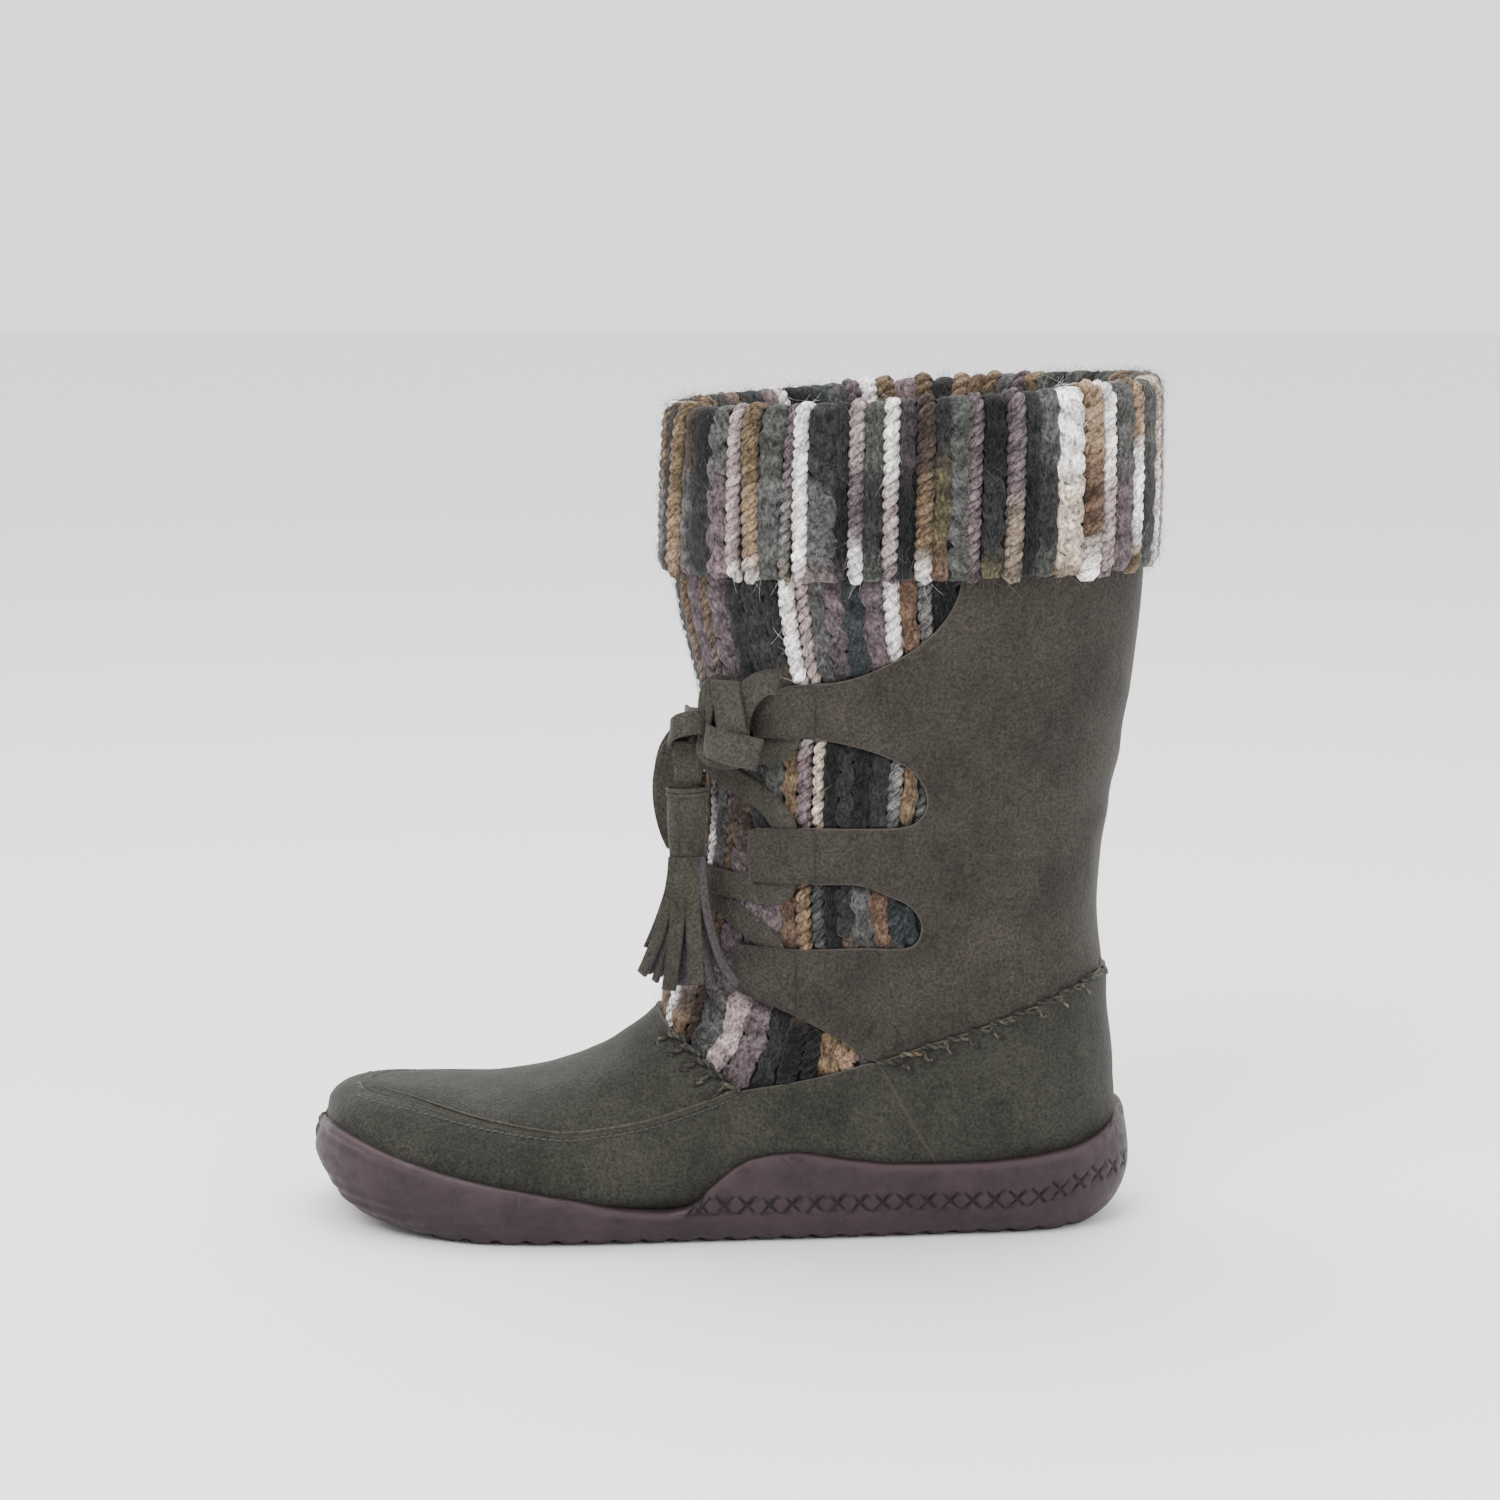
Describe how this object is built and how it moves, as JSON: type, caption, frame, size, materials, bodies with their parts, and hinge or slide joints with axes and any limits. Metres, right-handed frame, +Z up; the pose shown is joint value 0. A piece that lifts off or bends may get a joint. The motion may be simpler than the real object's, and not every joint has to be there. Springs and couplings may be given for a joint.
{
  "type": "moccasin boot",
  "caption": "Tall suede moccasin boot with a strapped shaft over a knit sleeve, fold-over knit cuff, tasselled lace and rubber cup sole.",
  "frame": {"origin": "on the ground, under the middle of the boot's outer box", "axes": "+X towards the heel (toe towards -X), +Y towards the inner side of the leg, +Z up"},
  "size_m": [0.2782, 0.1058, 0.2759],
  "materials": {
    "foot_suede": "olive brushed suede",
    "shaft_suede": "olive-grey brushed suede",
    "lace_suede": "olive suede lace",
    "wool": "thick multicolour knitted yarns",
    "rubber": "brown moulded rubber, matte",
    "fleece": "short pile fleece",
    "foam": "foam footbed with a cloth top",
    "fibreboard": "pressed fibreboard",
    "counter": "thermoplastic stiffener sheet",
    "steel": "spring steel strip",
    "thread": "thick waxed sewing thread"
  },
  "bodies": {
    "boot": {"outsole": "rubber", "shank": "steel", "insole_board": "fibreboard", "footbed": "foam", "heel_counter": "counter", "toe_puff": "counter", "lining": "fleece", "knit_sleeve": "wool", "vamp_plug": "foot_suede", "vamp_wall": "foot_suede", "heel_foxing": "foot_suede", "quarter_outer": "shaft_suede", "quarter_inner": "shaft_suede", "lace_outer": "lace_suede", "lace_inner": "lace_suede", "bow_loop_outer": "lace_suede", "bow_loop_inner": "lace_suede", "lace_knot": "lace_suede", "foxing_stitch_outer": "thread", "foxing_stitch_inner": "thread", "throat_stitch_outer": "thread", "throat_stitch_inner": "thread"},
    "outer_tail": {"lace_tail_outer": "lace_suede"},
    "inner_tail": {"lace_tail_inner": "lace_suede"},
    "outer_tassel": {"tassel_outer": "lace_suede"},
    "inner_tassel": {"tassel_inner": "lace_suede"}
  },
  "joints": [
    {"name": "outer_tail_fore_aft", "type": "hinge", "parent": "boot", "child": "outer_tail", "pos_m": [-0.01391, -0.031, 0.156], "axis": [0, 1, 0], "range_deg": [0, 55]},
    {"name": "outer_tassel_sideways", "type": "hinge", "parent": "outer_tail", "child": "outer_tassel", "pos_m": [-0.01391, -0.031, 0.1421], "axis": [1, 0, 0], "range_deg": [-60, 2]},
    {"name": "inner_tail_fore_aft", "type": "hinge", "parent": "boot", "child": "inner_tail", "pos_m": [-0.01391, 0.028, 0.1495], "axis": [0, 1, 0], "range_deg": [0, 55]},
    {"name": "inner_tassel_sideways", "type": "hinge", "parent": "inner_tail", "child": "inner_tassel", "pos_m": [-0.01391, 0.028, 0.1356], "axis": [1, 0, 0], "range_deg": [-2, 60]}
  ]
}
